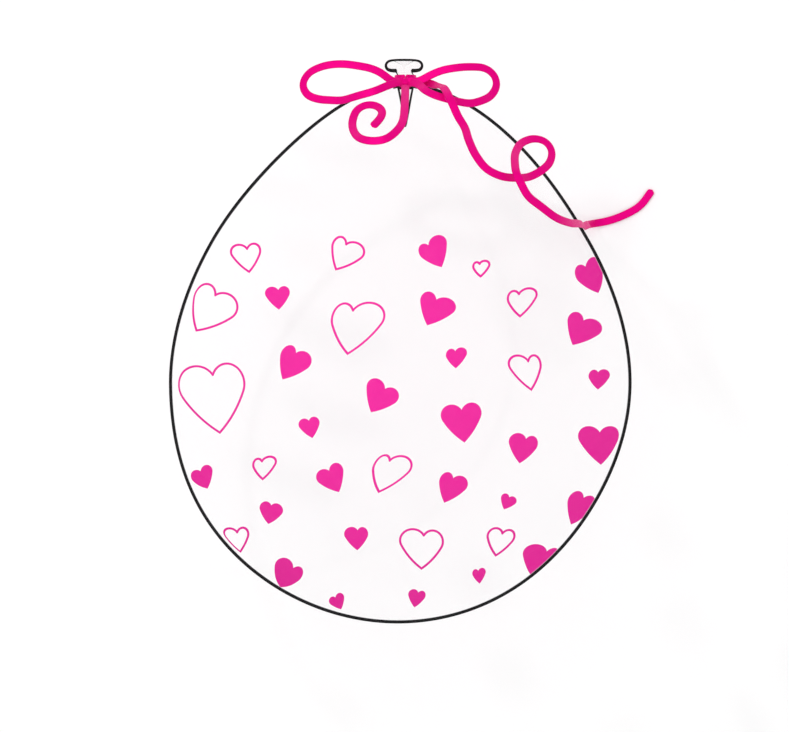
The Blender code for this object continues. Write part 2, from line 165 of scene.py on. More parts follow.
# Folds at the tie: how many, how deep and how far from it, in metres. The crease is as deep
# as it gets from its full radius on, and the haze over the folds has a reach of its own
PLEATS = 10
PLEAT_DEPTH = 0.0009
PLEAT_REACH = 0.060
WRINKLES = 31
WRINKLE_DEPTH = 0.00028
WRINKLE_REACH = 0.045
CREASE_DEPTH = 0.0022
CREASE_FULL_RADIUS = 0.0252
HAZE_REACH = 0.055

# The funnel in the lip: its depth in lip thicknesses, how much it tapers, and the powers that
# set how early it pinches and how late it falls
FUNNEL_DEPTH = 0.85
FUNNEL_TAPER = 0.1
FUNNEL_PINCH = 0.75
FUNNEL_FALL = 1.3

# The dark edge, painted shade where the film turns edge on: the blend of the shader's rim, the
# tightest and the widest radius that it heeds, how far past the tightest its line is thinned,
# and the line's share at the tightest. Over the neck it starts this share of the neck's radius
# off the axis
RIM_BLEND = 0.06
TIGHTEST_CURVE = 0.006
WIDEST_CURVE = 0.24
THINNED_REACH = 0.06
LIP_LINE_SHARE = 0.72
NECK_LINE_START = 0.80
NECK_LINE_REACH = 0.12

# The ribbon in metres: the step along its route, the gaps within which it settles on the
# latex and on the floor and over which that fades, how high it tilts fully away from the
# balloon, and the radius of bend that banks it fully. Tilt and dish are shares
ROUTE_STEP = 0.0015
LATEX_GAP = 0.0056
LATEX_GAP_FADE = 0.006
FLOOR_GAP = 0.0060
FLOOR_GAP_FADE = 0.008
FACE_TILT = 0.30
FACE_TILT_HEIGHT = 0.16
BANKED_BEND = 0.010
DISH = 0.06

# How many steps of the route each value is softened over
ROUTE_SOFTNESS = 3
FACE_SOFTNESS = 7
LEAN_SOFTNESS = 8
SETTLE_SOFTNESS = 4

# The tie in metres: its place over the shoulder, its bands, the knot, and how far from it the
# ribbon is set back, fully and then by a share that fades
TIE_RISE = 0.0035
BAND_WIDTH = 0.0064
KNOT_HALF_LENGTH = 0.0078
KNOT_HALF_DEPTH = 0.0054
KNOT_HALF_HEIGHT = 0.0062
KNOT_LIFT = 0.0072
KNOT_CREASES = 5
KNOT_CREASE_DEPTH = 0.05
KNOT_WEAVE_REACH = 0.0035
SET_BACK_NEAR = 0.008
SET_BACK_FADE = 0.037


class BalloonSizes(bpy.types.PropertyGroup):
    """Sizes of the latex balloon."""

    body_radius: FloatProperty(
        name="Body radius", description="Half the widest part", default=0.2285, unit="LENGTH"
    )
    shoulder_length: FloatProperty(
        name="Shoulder length", description="From the widest ring to the neck", default=0.295,
        unit="LENGTH",
    )
    crown_length: FloatProperty(
        name="Crown length", description="From the widest ring to the round end",
        default=0.2385, unit="LENGTH",
    )
    shoulder_taper: FloatProperty(
        name="Shoulder taper", description="Share by which the shoulder narrows", default=0.265
    )
    taper_power: FloatProperty(
        name="Taper power", description="How late the shoulder narrows", default=1.8
    )
    rest_depth: FloatProperty(
        name="Rest depth", description="How far the balloon flattens on the floor",
        default=0.0035, unit="LENGTH",
    )
    neck_sway: FloatProperty(
        name="Neck sway", description="How far the neck leans off the axis", default=0.0051,
        unit="LENGTH",
    )
    lip_sway: FloatProperty(
        name="Lip sway", description="How far the lip leans off the neck", default=-0.0014,
        unit="LENGTH",
    )
    crown_sway: FloatProperty(
        name="Crown sway", description="How far the round end leans off the axis",
        default=-0.0050, unit="LENGTH",
    )
    neck_radius: FloatProperty(
        name="Neck radius", description="Radius of the tied neck", default=0.0084, unit="LENGTH"
    )
    neck_length: FloatProperty(
        name="Neck length", description="From the shoulder to the lip", default=0.0117,
        unit="LENGTH",
    )
    neck_fillet: FloatProperty(
        name="Neck fillet", description="Radius where the neck leaves the shoulder",
        default=0.0010, unit="LENGTH",
    )
    lip_radius: FloatProperty(
        name="Lip radius", description="Radius of the rolled lip", default=0.0192, unit="LENGTH"
    )
    lip_thickness: FloatProperty(
        name="Lip thickness", description="Height of the rolled lip", default=0.0120,
        unit="LENGTH",
    )
    crease_half_width: FloatProperty(
        name="Crease half width", description="Half width of the top crease at the tie",
        default=0.0081, unit="LENGTH",
    )
    crease_length: FloatProperty(
        name="Crease length", description="From the tie to the crease's point",
        default=0.048, unit="LENGTH",
    )
    rings: IntProperty(name="Rings", description="Rings along the body", default=190, min=20)
    segments: IntProperty(name="Segments", description="Points round a ring", default=256, min=24)


class PrintLooks(bpy.types.PropertyGroup):
    """Colours and line of the print and of the latex, and the painted shade along its edge and
    crease.
    """

    ink: FloatVectorProperty(
        name="Ink", description="Colour of the printed hearts", subtype="COLOR", size=3,
        default=(0.83, 0.018, 0.325), min=0.0, max=1.0,
    )
    film: FloatVectorProperty(
        name="Film", description="Haze of the clear latex, seen face on", subtype="COLOR",
        size=3, default=(0.80, 0.80, 0.83), min=0.0, max=1.0,
    )
    # Painted shade: the near-black colour that the film takes where it is seen edge on
    edge: FloatVectorProperty(
        name="Edge", description="Painted shade where the film turns edge on", subtype="COLOR",
        size=3, default=(0.004, 0.004, 0.005), min=0.0, max=1.0,
    )
    # Width of the painted shade along the film's silhouette
    edge_width: FloatProperty(
        name="Edge width", description="Width of the dark edge, seen from outside",
        default=0.0037, unit="LENGTH",
    )
    # Width of the painted shade along both edges of the top crease
    painted_crease_width: FloatProperty(
        name="Crease width", description="Width of the crease's dark edges", default=0.0023,
        unit="LENGTH",
    )
    line: FloatProperty(
        name="Line", description="Width of the outlined hearts' line", default=0.0023,
        unit="LENGTH",
    )


class RibbonSizes(bpy.types.PropertyGroup):
    """Sizes and colour of the satin ribbon."""

    width: FloatProperty(
        name="Width", description="Width of the ribbon", default=0.0080, unit="LENGTH"
    )
    thickness: FloatProperty(
        name="Thickness", description="Thickness of the ribbon", default=0.0017, unit="LENGTH"
    )
    bank: FloatProperty(
        name="Bank", description="Most that a curl leans outwards", default=math.radians(20),
        subtype="ANGLE",
    )
    clearance: FloatProperty(
        name="Clearance", description="Gap kept to the latex and the floor", default=0.0003,
        unit="LENGTH",
    )
    set_back: FloatProperty(
        name="Set back", description="How far the knot leans back against the shoulder",
        default=0.0058, unit="LENGTH",
    )
    colour: FloatVectorProperty(
        name="Colour", description="Colour of the satin", subtype="COLOR", size=3,
        default=(0.80, 0.0, 0.215), min=0.0, max=1.0,
    )


class StageSizes(bpy.types.PropertyGroup):
    """The camera, floor and lamps."""

    camera_height: FloatProperty(
        name="Camera height", description="Over the balloon's axis", default=3.9023,
        unit="LENGTH",
    )
    camera_x: FloatProperty(
        name="Camera x", description="Sideways place", default=-0.0057, unit="LENGTH"
    )
    camera_y: FloatProperty(
        name="Camera y", description="Place along the balloon", default=0.0158, unit="LENGTH"
    )
    floor_size: FloatProperty(
        name="Floor size", description="Side of the floor", default=24.0, unit="LENGTH"
    )


def smooth_step(value):
    """Rise from 0 to 1 with level ends: 3t^2 - 2t^3 for the value clipped to 0..1."""
    t = np.clip(value, 0.0, 1.0)
    return t * t * (3.0 - 2.0 * t)


def fade(value, near, reach):
    """Fall from 1 at near to 0 a reach further on, with level ends."""
    return 1.0 - smooth_step((value - near) / reach)


def unit(rows):
    """Each row divided by its own length."""
    return rows / np.maximum(np.linalg.norm(rows, axis=-1, keepdims=True), 1e-12)


def ring_angles(count):
    """Angles of so many points spread evenly round a ring."""
    return np.arange(count) * (2 * math.pi / count)


def outward_normals(radius, y):
    """Outward directions of a profile, at right angles to its slope from point to point."""
    return unit(np.column_stack([np.gradient(y), -np.gradient(radius)]))


def run_along(line):
    """Length of a line up to each of its points."""
    return np.concatenate([[0.0], np.cumsum(np.linalg.norm(np.diff(line, axis=0), axis=1))])


def soften(values, reach):
    """Values averaged along the first axis with a bell curve that reaches so many steps.

    Past either end the values carry on turned about the end, so that slopes are kept there.
    """
    steps = np.arange(-3 * reach, 3 * reach + 1)
    bell = np.exp(-0.5 * (steps / reach) ** 2)
    bell /= bell.sum()
    flat = values.reshape(len(values), -1)
    more = min(3 * reach, len(flat) - 1)
    before = 2 * flat[:1] - flat[more:0:-1]
    after = 2 * flat[-1:] - flat[-2:-2 - more:-1]
    padded = np.vstack([before[:1]] * (3 * reach - more) + [before, flat, after]
                       + [after[-1:]] * (3 * reach - more))
    done = np.column_stack([np.convolve(column, bell, "valid") for column in padded.T])
    return done.reshape(values.shape)


def mesh_object(name, points, quads, triangles=()):
    """A smooth-shaded mesh object from arrays of points, quads and triangles."""
    data = bpy.data.meshes.new(name)
    faces = np.asarray(quads).tolist() + np.asarray(triangles, int).reshape(-1, 3).tolist()
    data.from_pydata(np.asarray(points, float).tolist(), [], faces)
    data.validate()
    data.update()
    data.shade_smooth()
    obj = bpy.data.objects.new(name, data)
    bpy.context.scene.collection.objects.link(obj)
    return obj


def lofted(rings, first, last):
    """Points, quads and triangles of rings joined into a closed skin with a pole at each end.

    The faces are wound outwards: the volume under them, a sixth of the sum of the triple
    products of their corners, comes out positive.
    """
    count, sides = rings.shape[:2]
    points = np.vstack([rings.reshape(-1, 3), [first], [last]])
    i = np.arange(count - 1)[:, None] * sides
    j = np.arange(sides)
    k = (j + 1) % sides
    quads = np.stack([i + j, i + k, i + sides + k, i + sides + j], axis=-1).reshape(-1, 4)
    pole = np.full(sides, count * sides)
    end = (count - 1) * sides
    caps = np.vstack([
        np.column_stack([pole, k, j]), np.column_stack([pole + 1, end + j, end + k])
    ])
    halves = np.vstack([quads[:, :3], quads[:, [0, 2, 3]], caps])
    a, b, c = (points[halves[:, n]] - first for n in range(3))
    if np.sum(a * np.cross(b, c)) < 0.0:
        quads, caps = quads[:, ::-1], caps[:, ::-1]
    return points, quads, caps


def corner_points(obj):
    """The vertex number of every face corner."""
    at = np.empty(len(obj.data.loops), np.int32)
    obj.data.loops.foreach_get("vertex_index", at)
    return at


def set_uv(obj, name, values):
    """A UV map whose values are given for every face corner."""
    layer = obj.data.uv_layers.new(name=name)
    layer.data.foreach_set("uv", np.asarray(values, np.float32).ravel())


# the balloon's own shape


def axis_height(s):
    """Height of the balloon's axis over the floor."""
    return s.body_radius - s.rest_depth


def axis_sway(s, y):
    """Sideways place of the axis: smooth leans at the neck, over the neck and at the crown."""
    to_neck = smooth_step((y / s.shoulder_length - NECK_LEAN_START) / NECK_LEAN_REACH)
    up_neck = (y - s.shoulder_length) / s.neck_length
    to_lip = smooth_step((up_neck - LIP_LEAN_START) / LIP_LEAN_REACH)
    down = np.clip(-y / s.crown_length, 0.0, 1.0)
    crown = s.crown_sway * np.sin(math.pi * down / CROWN_LEAN_REACH) ** 2
    return s.neck_sway * to_neck + s.lip_sway * to_lip + crown


def body_profile(s, count):
    """Radius and y: a half ellipse, then one whose radius also shrinks by a power of y."""
    turn = np.linspace(0.0, math.pi / 2, count // 3)
    crown_r = s.body_radius * np.sin(turn)
    crown_y = -s.crown_length * np.cos(turn)
    fine = np.linspace(0.0, math.pi / 2, 2000)

    def shoulder(b):
        """Radius at a turn: a cosine, made thinner by a power of the sine."""
        thinner = 1.0 - s.shoulder_taper * np.sin(b) ** s.taper_power
        return s.body_radius * np.cos(b) * thinner

    last = np.interp(-(s.neck_radius + s.neck_fillet), -shoulder(fine), fine)
    b = np.linspace(0.0, last, count - count // 3 + 1)[1:]
    return (
        np.concatenate([crown_r, shoulder(b)]),
        np.concatenate([crown_y, s.shoulder_length * np.sin(b)]),
    )


def neck_profile(s, start_y):
    """Radius and y of root, neck, rolled lip and the funnel that runs down to the tie.

    The root is a quarter circle, the lip a half circle between flat ends, and the funnel's
    radius falls by a cosine from the lip's inner edge to the pinched middle.
    """
    neck_end = s.shoulder_length + s.neck_length
    half = s.lip_thickness / 2
    root = np.linspace(0.0, math.pi / 2, 5)[1:]
    neck_y = np.linspace(start_y + s.neck_fillet, neck_end, 9)[1:-1]
    under = np.linspace(s.neck_radius, s.lip_radius - half, 7)
    edge = np.linspace(-math.pi / 2, math.pi / 2, 22)[1:]
    inner = s.lip_radius - half
    down = np.linspace(0.0, 1.0, 16)[1:]
    pinched = 0.5 + 0.5 * np.cos(math.pi * down**FUNNEL_PINCH)
    funnel_r = inner * pinched * (1.0 - FUNNEL_TAPER * down)
    funnel_y = neck_end + s.lip_thickness * (1.0 - FUNNEL_DEPTH * down**FUNNEL_FALL)
    radius = [
        s.neck_radius + s.neck_fillet * (1.0 - np.sin(root)),
        np.full(len(neck_y), s.neck_radius),
        under,
        inner + half * np.cos(edge),
        funnel_r,
    ]
    y = [
        start_y + s.neck_fillet * (1.0 - np.cos(root)),
        neck_y,
        np.full(len(under), neck_end),
        neck_end + half + half * np.sin(edge),
        funnel_y,
    ]
    return np.concatenate(radius), np.concatenate(y)


def gather_depth(s, radius, y, angle):
    """How far the skin is drawn in: pleats, finer wrinkles between them and one crease.

    Pleats and wrinkles are cosines round the neck that fade with the distance from the tie,
    and the crease is a pointed groove down the top side.
    """
    from_tie = np.hypot(radius - s.neck_radius, y - s.shoulder_length)
    on_neck = smooth_step((s.shoulder_length + s.neck_length - y) / s.neck_length)
    pleats = PLEAT_DEPTH * fade(from_tie, 0.0, PLEAT_REACH) * (1.0 - np.cos(PLEATS * angle)) / 2
    uneven = WRINKLES * angle + 2.0 * np.sin(3 * angle)
    wrinkles = WRINKLE_DEPTH * fade(from_tie, 0.0, WRINKLE_REACH) * (1.0 + np.cos(uneven)) / 2
    along = np.clip((s.shoulder_length - y) / s.crease_length, 0.0, 1.0)
    half = s.crease_half_width * (1.0 - along) + 1e-6
    across = np.clip(radius * np.abs(np.sin(angle)) / half, 0, 1)
    on_top = (np.cos(angle) > 0.0) & (y < s.shoulder_length)
    crease = CREASE_DEPTH * np.sqrt(1.0 - along) * (1.0 - across**2) * on_top
    return (pleats + wrinkles) * on_neck + crease * smooth_step(radius / CREASE_FULL_RADIUS)


def skin_grid(s):
    """Rings of points: the profile turned about the swaying axis and drawn in by the folds."""
    body_r, body_y = body_profile(s, s.rings)
    neck_r, neck_y = neck_profile(s, body_y[-1])
    radius = np.concatenate([body_r, neck_r])
    y = np.concatenate([body_y, neck_y])
    radius[0] = radius[-1] = 0.0
    slope_r = np.gradient(radius)
    slope_y = np.gradient(y)
    length = np.hypot(slope_r, slope_y)
    angle = ring_angles(s.segments)[None, :]
    depth = gather_depth(s, radius[:, None], y[:, None], angle)
    ring_r = np.maximum(radius[:, None] - depth * (slope_y / length)[:, None], 0.0)
    ring_y = y[:, None] + depth * (slope_r / length)[:, None]
    x = axis_sway(s, y)[:, None] + ring_r * np.sin(angle)
    z = np.maximum(axis_height(s) + ring_r * np.cos(angle), 0.0)
    return np.stack([x, ring_y, z], axis=-1), radius, y


def nearest_skin(s, points):
    """How far points stand off the body and its outward direction there.

    Each point is compared with the profile in its own plane through the axis.
    """
    radius, y = body_profile(s, count=900)
    normal = outward_normals(radius, y)
    spoke = np.column_stack([points[:, 0] - axis_sway(s, points[:, 1]),
                             points[:, 2] - axis_height(s)])
    here = np.column_stack([np.linalg.norm(spoke, axis=1), points[:, 1]])
    away = here[:, None, :] - np.column_stack([radius, y])[None, :, :]
    nearest = np.argmin(np.einsum("ijk,ijk->ij", away, away), axis=1)
    gap = np.einsum("ij,ij->i", away[np.arange(len(here)), nearest], normal[nearest])
    out = unit(spoke) * normal[nearest, :1]
    return gap, np.column_stack([out[:, 0], normal[nearest, 1], out[:, 1]])


# the print


def heart_distance(u, v, share, lean):
    """Signed distance to a heart one unit wide with its tip at 0, 0, negative inside.

    Each lobe is part of a circle and each side one long arc down to the tip. Below the line
    through the notch and the lobe's centre the distance is to the side's arc, or to the
    notch if nearer. The halves may differ in width by a share, and lean lets both lobes hang.
    """
    wider = 1.0 + share * np.sign(u)
    v = v + lean * np.abs(u)
    u = np.abs(u) * wider
    lobe = np.hypot(u - LOBE_X, v - LOBE_Y) - LOBE_RADIUS
    side = np.hypot(u - SIDE_X, v - SIDE_Y) - SIDE_RADIUS
    notch = -np.hypot(u, v - NOTCH_Y)
    above = (NOTCH_Y - LOBE_Y) * u + LOBE_X * (v - NOTCH_Y) > 0.0
    return np.where(above, lobe, np.maximum(side, notch)) / wider


def heart_table(line):
    """One row per heart: tip, inverse of its slanted frame, line, stretch, halves and width.

    The line is half its width, in heart widths, or 0 for a solid heart. The stretch is how
    many times the heart's width goes into its height. The halves are the share and the lean.
    """
    rows = []
    for hearts, solid in ((OUTLINED_HEARTS, False), (SOLID_HEARTS, True)):
        for x, y, width, height, width_turn, axis_turn, share, lean in hearts:
            wide = width / 1000
            a, b = math.radians(width_turn), math.radians(axis_turn)
            to_plan = np.array([[math.cos(a), -math.sin(b)], [math.sin(a), math.cos(b)]])
            inverse = np.linalg.inv(to_plan * [wide, height / 1000])
            half = 0.0 if solid else line / 2 / wide
            place = (x / 1000, y / 1000, *inverse.ravel())
            rows.append((*place, half, height / width, share, lean, wide))
    return np.array(rows)


def unrolled_plan(s, stage, points):
    """Where points of the skin appear from above, unrolled where the skin is steep.

    The skin's own normal gives how far it tilts from level. Up to a tilt whose cosine is
    UNROLLED a point keeps the place where the camera sees it. Past that it moves out along
    the slope, by that share of the length of skin passed up to upright and by a share that
    rises smoothly further down, so that hearts near the silhouette carry on over the side.
    """
    radius, y = body_profile(s, count=1500)
    normal = outward_normals(radius, y)
    spoke_x = points[:, 0] - axis_sway(s, points[:, 1])
    spoke_z = points[:, 2] - axis_height(s)
    angle = np.arctan2(spoke_x, spoke_z)
    reach = np.hypot(spoke_x, spoke_z)
    normal_r = np.interp(points[:, 1], y, normal[:, 0])
    normal_y = np.interp(points[:, 1], y, normal[:, 1])
    tilt = np.arccos(np.clip(normal_r * np.cos(angle), -1.0, 1.0))
    limit = math.acos(UNROLLED)
    steep = np.clip(tilt, limit, math.pi / 2) - limit
    past = np.maximum(tilt - math.pi / 2, 0.0)
    beyond = past * (UNROLLED + (1.0 - UNROLLED) * past / (past + UNROLL_TURN))
    side = np.sin(np.minimum(tilt, limit)) + UNROLLED * steep + beyond
    bend = np.where(points[:, 1] < 0.0, s.body_radius, reach)
    outward = unit(np.column_stack([normal_r * np.sin(angle), normal_y]))
    plan = points[:, :2] + (bend * (side - np.sin(tilt)))[:, None] * outward
    nearer = (stage.camera_height / (stage.camera_height - spoke_z))[:, None]
    centre = np.array([stage.camera_x, stage.camera_y])
    return centre + (plan - centre) * nearer


def heart_places(s, stage, looks, obj):
    """Heart coordinates, lines and halves for every corner, from the heart nearest its face."""
    data = obj.data
    centre = np.empty(len(data.polygons) * 3)
    data.polygons.foreach_get("center", centre)
    sides = np.empty(len(data.polygons), np.int32)
    data.polygons.foreach_get("loop_total", sides)
    points = np.empty(len(data.vertices) * 3)
    data.vertices.foreach_get("co", points)
    hearts = heart_table(looks.line)

    def local(place, h):
        """Offsets from a heart's tip, measured in its own slanted frame."""
        dx = place[:, 0] - h[..., 0]
        dy = place[:, 1] - h[..., 1]
        return h[..., 2] * dx + h[..., 3] * dy, h[..., 4] * dx + h[..., 5] * dy

    face = unrolled_plan(s, stage, centre.reshape(-1, 3))
    away = [heart_distance(*local(face, h), h[8], h[9]) * h[10] for h in hearts]
    chosen = np.argmin(np.stack(away, axis=1), axis=1)
    mine = hearts[np.repeat(chosen, sides)]
    corner = unrolled_plan(s, stage, points.reshape(-1, 3)[corner_points(obj)])
    return np.column_stack(local(corner, mine)), mine[:, 6:8], mine[:, 8:10]


def painted_rim_gain(s, looks, grid, radius, y):
    """What makes the dark edge, painted shade where the skin turns edge on, equally wide on tight
    and on wide curves.

    Seen from above, a line w wide on an upright curve of radius R starts where the cosine of
    the slant is sqrt(1 - (1 - w/R)^2). R comes from the skin's two curvatures, along its
    profile and round its axis, each weighted by the square of how far its direction points
    up. The gain is one over the reflectance that the material's rim shows at that slant, for
    an index of one over what the blend leaves. It is nought where the neck runs into the lip,
    which shows no line, and the line is thinner where the curve is as tight as the lip's.
    """
    normal = outward_normals(radius, y)
    step = np.hypot(np.gradient(radius), np.gradient(y))
    lean = np.unwrap(np.arctan2(normal[:, 1], normal[:, 0]))
    along = np.abs(np.gradient(lean)) / np.maximum(step, 1e-6)
    around = np.abs(normal[:, 0]) / np.maximum(radius, 1e-4)
    angle = ring_angles(grid.shape[1])
    weigh_along = (normal[:, 1:] * np.cos(angle)) ** 2 + 1e-6
    weigh_around = np.broadcast_to(np.sin(angle) ** 2, weigh_along.shape)
    bend = along[:, None] * weigh_along + around[:, None] * weigh_around
    curve = (weigh_along + weigh_around) / np.maximum(bend, 1e-6)
    curve = np.clip(curve, TIGHTEST_CURVE, WIDEST_CURVE)
    facing_in = (normal[:, :1] < 0.0) & (y[:, None] > s.shoulder_length)
    curve = np.where(facing_in, WIDEST_CURVE, curve)
    thinned = (1.0 - LIP_LINE_SHARE) * fade(curve, TIGHTEST_CURVE, THINNED_REACH)
    cosine = np.sqrt(1.0 - (1.0 - looks.edge_width * (1.0 - thinned) / curve) ** 2)
    index_squared = 1.0 / (1.0 - RIM_BLEND) ** 2
    bent = np.sqrt(index_squared - 1.0 + cosine**2)
    across = (cosine - bent) / (cosine + bent)
    level = (cosine * index_squared - bent) / (cosine * index_squared + bent)
    lip_start = s.shoulder_length + s.neck_length
    beside = np.abs(radius[:, None] * np.sin(angle)) / s.neck_radius
    open_to_neck = np.abs(y[:, None] - lip_start) < s.lip_thickness / 2
    beside = smooth_step((beside - NECK_LINE_START) / NECK_LINE_REACH)
    shown = np.where(open_to_neck, beside, 1.0)
    return shown * 2.0 / (across**2 + level**2)


def crease_line(s, grid, radius, y):
    """How far each point is from the nearer edge of the top crease, negative inside it.

    The crease's edges run straight from the tie to its point. Past the point the distance is
    to the point itself, and elsewhere off the top it is a metre.
    """
    angle = ring_angles(grid.shape[1])
    across = np.abs(radius[:, None] * np.sin(angle))
    down = (s.shoulder_length - y)[:, None]
    half = s.crease_half_width * (1.0 - np.clip(down / s.crease_length, 0.0, 1.0))
    past = np.maximum(down - s.crease_length, 0.0) + np.maximum(-down, 0.0)
    away = np.where(past > 0.0, np.hypot(across - half, past), across - half)
    return np.where((np.cos(angle) > 0.0) & (down < 2 * s.crease_length), away, 1.0)


# the ribbon's own shape


def tie_point(s, r):
    """Top of the neck's clearance at the middle of the ribbon's turn round the neck."""
    y = s.shoulder_length + s.neck_fillet + r.clearance + TIE_RISE
    return np.array([s.neck_sway, y, axis_height(s) + s.neck_radius + r.clearance])


def lean_back(s, r, points):
    """Points near the tie moved back and up, by a share that fades with the distance."""
    away = np.linalg.norm(points - tie_point(s, r), axis=1)
    share = fade(away, SET_BACK_NEAR, SET_BACK_FADE)
    return points + share[:, None] * np.array([0.0, -r.set_back, r.set_back])


def smooth_route(s, r, route):
    """Evenly spaced points on the cubic curve through a route.

    Between two knots the curve is a Hermite cubic, and its slope at a knot is the mean of the
    two chords there, each weighted by the length of the other. It is then softened twice, the
    second time by what the first took away, which evens its bends and keeps their size.
    """
    knots = np.array(route, float) + tie_point(s, r)
    chord = np.diff(knots, axis=0)
    gap = np.linalg.norm(chord, axis=1, keepdims=True)
    slope = chord / gap
    inner = (slope[:-1] * gap[1:] + slope[1:] * gap[:-1]) / (gap[:-1] + gap[1:])
    slope = np.vstack([slope[:1], inner, slope[-1:]])
    steps = 40
    t = np.linspace(0.0, 1.0, steps, endpoint=False)[:, None, None]
    leave = t * (1 - t) ** 2
    arrive = t * t * (t - 1)
    dense = knots[:-1] + t * t * (3 - 2 * t) * chord
    dense = dense + gap * (leave * slope[:-1] + arrive * slope[1:])
    dense = np.vstack([dense.swapaxes(0, 1).reshape(-1, 3), knots[-1:]])
    dense[:, 2] = np.maximum(dense[:, 2], r.width / 2 + r.clearance)
    run = run_along(dense)
    at = np.linspace(0.0, run[-1], round(run[-1] / ROUTE_STEP) + 1)
    even = np.column_stack([np.interp(at, run, dense[:, k]) for k in range(3)])
    softer = soften(even, ROUTE_SOFTNESS)
    return softer + soften(even - softer, ROUTE_SOFTNESS)


def lay_ribbon(s, r, line):
    """A ribbon's centreline, settled on what is under it, and the way its face looks.

    The face looks up, and a little away from the balloon. In a bend it leans outwards by an
    angle in proportion to how sharply the bend turns. Near the latex or the floor the line
    sinks until the ribbon touches: half its width times the sine, and half its thickness
    times the cosine, of the angle between its face and the surface.
    """
    line = lean_back(s, r, line)
    gap, out = nearest_skin(s, line)
    up = np.array([0.0, 0.0, 1.0])
    floor = line[:, 2]
    on_skin = fade(gap, LATEX_GAP, LATEX_GAP_FADE)
    on_floor = fade(floor, FLOOR_GAP, FLOOR_GAP_FADE)
    tangent = unit(np.gradient(line, axis=0))
    high = smooth_step(floor / FACE_TILT_HEIGHT)[:, None]
    face = up + FACE_TILT * out * high
    face = face - tangent * np.sum(face * tangent, axis=1, keepdims=True)
    face = soften(face, FACE_SOFTNESS)
    face = unit(face - tangent * np.sum(face * tangent, axis=1, keepdims=True))
    across = np.cross(tangent, face)
    step = np.linalg.norm(np.diff(line, axis=0), axis=1).mean()
    turning = np.sum(np.gradient(tangent, axis=0) * across, axis=1) / step
    free = (1.0 - on_skin) * (1.0 - on_floor)
    bank = np.clip(turning * BANKED_BEND, -1.0, 1.0) * r.bank
    lean = soften((bank * free)[:, None], LEAN_SOFTNESS)
    face = unit(np.cos(lean) * face - np.sin(lean) * across)
    across = np.cross(tangent, face)

    def rest(normal):
        """How high the centreline is over a surface that the ribbon touches."""
        tipped = r.width / 2 * np.abs(np.sum(across * normal, axis=1))
        return tipped + r.thickness / 2 * np.abs(np.sum(face * normal, axis=1)) + r.clearance

    line = line - soften(((gap - rest(out)) * on_skin)[:, None], SETTLE_SOFTNESS) * out
    line = line - soften(((floor - rest(up)) * on_floor)[:, None], SETTLE_SOFTNESS) * up
    line[:, 2] = np.maximum(line[:, 2], r.thickness / 2 + r.clearance)
    return line, face


def ribbon_strip(r, line, face, width, round_end=False):
    """Points, quads, triangles and places across and along for one length of ribbon.

    Its section is a rounded bar, four-power in both directions, dished a little across. A
    rounded end narrows as a half circle does, and both ends close to a point.
    """
    sides = 24
    tangent = unit(np.gradient(line, axis=0))
    across = unit(np.cross(tangent, face))
    run = run_along(line)
    half, thin = width / 2, r.thickness / 2
    narrow = np.ones(len(line))
    for left, reach in ((run, thin), (run[-1] - run, half if round_end else thin)):
        narrow *= np.sqrt(np.clip(1.0 - (1.0 - np.clip(left / reach, 0, 1)) ** 2, 1e-6, 1.0))
    turn = ring_angles(sides) + math.pi / sides
    wide = np.sign(np.cos(turn)) * np.abs(np.cos(turn)) ** 0.5
    thick = np.sign(np.sin(turn)) * np.abs(np.sin(turn)) ** 0.5
    wide_by = (half * narrow)[:, None] * wide[None, :]
    flat_by = (thin * np.sqrt(narrow))[:, None] * thick[None, :]
    flat_by = flat_by + DISH * r.thickness * (wide[None, :] ** 2) * narrow[:, None]
    rings = line[:, None, :] + wide_by[..., None] * across[:, None, :]
    rings = rings + flat_by[..., None] * face[:, None, :]
    shape = rings.shape[:2]
    place = np.stack([0.5 * r.width * np.broadcast_to(wide, shape) * narrow[:, None],
                      np.broadcast_to(run[:, None], shape)], axis=-1).reshape(-1, 2)
    place = np.vstack([place, [[0.0, 0.0], [0.0, run[-1]]]])
    return *lofted(rings, line[0], line[-1]), place


def ribbon_object(name, strips):
    """One mesh object from several strips, with the ribbon's own places as its UV map."""
    points, quads, triangles, places = [], [], [], []
    start = 0
    for p, q, t, place in strips:
        points.append(p)
        quads.append(q + start)
        triangles.append(t + start)
        places.append(place)
        start += len(p)
    obj = mesh_object(name, np.vstack(points), np.vstack(quads), np.vstack(triangles))
    set_uv(obj, "ribbon place", np.vstack(places)[corner_points(obj)])
    return obj


# node groups and materials


def group_tree(name, inputs, outputs):
    """An empty shader node group with named sockets, as its tree, input and output nodes."""
    tree = bpy.data.node_groups.new(name, "ShaderNodeTree")
    for label, kind, value in inputs:
        socket = tree.interface.new_socket(name=label, in_out="INPUT", socket_type=kind)
        if value is not None:
            socket.default_value = value
    for label, kind in outputs:
        tree.interface.new_socket(name=label, in_out="OUTPUT", socket_type=kind)
    return tree, tree.nodes.new("NodeGroupInput"), tree.nodes.new("NodeGroupOutput")


def connect(tree, value, socket):
    """A link if the value is a socket, or else the value set on the socket."""
    if isinstance(value, bpy.types.NodeSocket):
        tree.links.new(value, socket)
    else:
        socket.default_value = value


def math_node(tree, operation, *values, clamp=False):
    """The output of a Math node fed with numbers or sockets."""
    node = tree.nodes.new("ShaderNodeMath")
    node.operation = operation
    node.use_clamp = clamp
    for value, socket in zip(values, node.inputs):
        connect(tree, value, socket)
    return node.outputs[0]


def vector_node(tree, operation, *values):
    """The output of a Vector Math node fed with vectors or sockets."""
    node = tree.nodes.new("ShaderNodeVectorMath")
    node.operation = operation
    for value, socket in zip(values, node.inputs):
        connect(tree, value, socket)
    return node.outputs["Value" if operation in ("LENGTH", "DISTANCE") else "Vector"]


